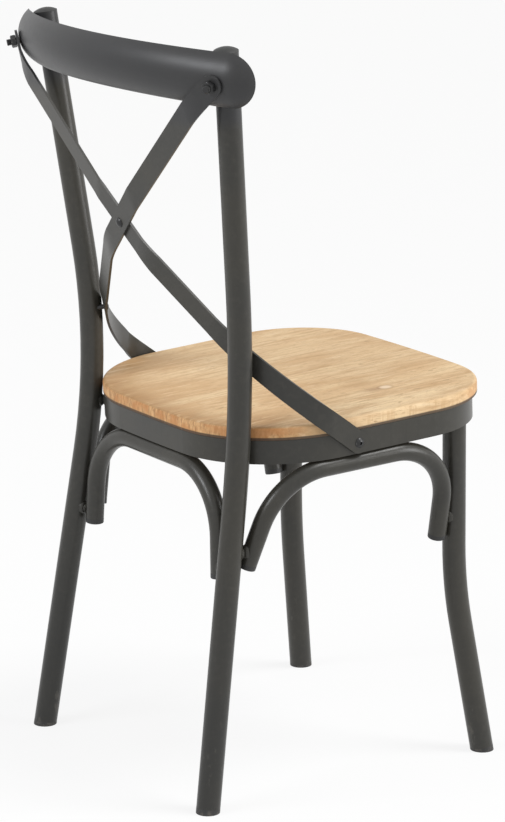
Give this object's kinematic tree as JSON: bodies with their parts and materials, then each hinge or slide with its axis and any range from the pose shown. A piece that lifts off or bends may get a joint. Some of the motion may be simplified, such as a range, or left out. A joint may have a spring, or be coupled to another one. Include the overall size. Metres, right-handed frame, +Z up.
{
  "type": "dining side chair",
  "caption": "Side chair of bent dark steel tube with a rounded light wood seat, a dished back rail and crossed flat back straps.",
  "frame": {"origin": "on the floor, at the middle of the chair's bounding box", "axes": "+Z up, the sitter faces -Y, +X to the sitter's left"},
  "size_m": [0.4798, 0.476, 0.8863],
  "materials": {
    "dark_painted_steel": "satin",
    "seat_wood": "matte oiled",
    "dark_plastic_ends": "matte",
    "dark_fasteners": "satin",
    "plated_screws": "plated"
  },
  "bodies": {
    "root": {"seat_board": "seat_wood", "rear_post_left": "dark_painted_steel", "rear_post_right": "dark_painted_steel", "front_leg_left": "dark_painted_steel", "front_leg_right": "dark_painted_steel", "seat_ring": "dark_painted_steel", "seat_tab_rear": "dark_painted_steel", "seat_tab_front": "dark_painted_steel", "seat_tab_left": "dark_painted_steel", "seat_tab_right": "dark_painted_steel", "side_brace_left": "dark_painted_steel", "side_brace_right": "dark_painted_steel", "rear_brace": "dark_painted_steel", "back_rail": "dark_painted_steel", "cross_strap_left": "dark_painted_steel", "cross_strap_right": "dark_painted_steel", "stud_front_left": "dark_painted_steel", "stud_front_right": "dark_painted_steel", "stud_side_rear_left": "dark_painted_steel", "stud_side_rear_right": "dark_painted_steel", "stud_rear_left": "dark_painted_steel", "stud_rear_right": "dark_painted_steel", "stud_ring_left": "dark_painted_steel", "stud_ring_right": "dark_painted_steel", "post_cap_left": "dark_plastic_ends", "post_cap_right": "dark_plastic_ends", "glide_rear_left": "dark_plastic_ends", "glide_rear_right": "dark_plastic_ends", "glide_front_left": "dark_plastic_ends", "glide_front_right": "dark_plastic_ends", "brace_cap_front_left": "dark_plastic_ends", "brace_cap_front_right": "dark_plastic_ends", "brace_cap_side_rear_left": "dark_plastic_ends", "brace_cap_side_rear_right": "dark_plastic_ends", "brace_cap_rear_left": "dark_plastic_ends", "brace_cap_rear_right": "dark_plastic_ends", "crossing_rivet": "dark_fasteners", "rail_bolt_left": "dark_fasteners", "rail_bolt_right": "dark_fasteners", "rail_nut_left": "dark_fasteners", "rail_nut_right": "dark_fasteners", "post_screw_left": "dark_fasteners", "post_screw_right": "dark_fasteners", "seat_bolt_left": "dark_fasteners", "seat_bolt_right": "dark_fasteners", "seat_nut_left": "dark_fasteners", "seat_nut_right": "dark_fasteners", "seat_screw_rear": "plated_screws", "seat_screw_front": "plated_screws", "seat_screw_left": "plated_screws", "seat_screw_right": "plated_screws"}
  },
  "joints": []
}
